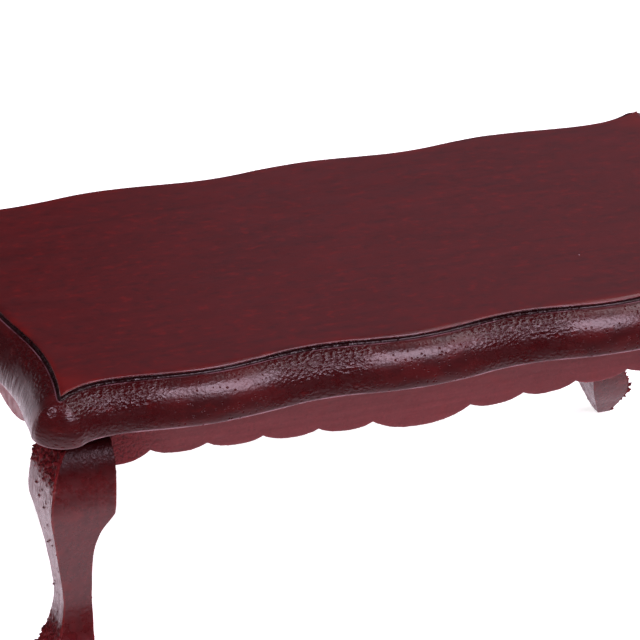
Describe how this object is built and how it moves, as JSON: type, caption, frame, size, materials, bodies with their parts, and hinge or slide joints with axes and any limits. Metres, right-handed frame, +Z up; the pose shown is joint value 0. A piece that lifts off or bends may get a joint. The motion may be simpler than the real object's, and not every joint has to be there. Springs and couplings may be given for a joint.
{
  "type": "miniature dining table",
  "caption": "Dolls-house dining table with a serpentine moulded top, scalloped aprons and sawn cabriole legs.",
  "frame": {"origin": "on the floor, under the middle of the table top", "axes": "+X along the long side of the top, +Y towards the back apron, +Z up"},
  "size_m": [0.1516, 0.0766, 0.0635],
  "materials": {
    "top_lacquer": "wood stained deep maroon under a satin lacquer, glossier and darker on the moulded edge",
    "apron_stain": "sawn board stained maroon, thin satin lacquer with a fine speckle",
    "leg_stain": "sawn wood stained maroon, satin, rougher on the curved end grain"
  },
  "bodies": {
    "root": {"table_top": "top_lacquer", "front_apron": "apron_stain", "back_apron": "apron_stain", "left_apron": "apron_stain", "right_apron": "apron_stain", "front_left_leg": "leg_stain", "front_right_leg": "leg_stain", "back_right_leg": "leg_stain", "back_left_leg": "leg_stain"}
  },
  "joints": []
}
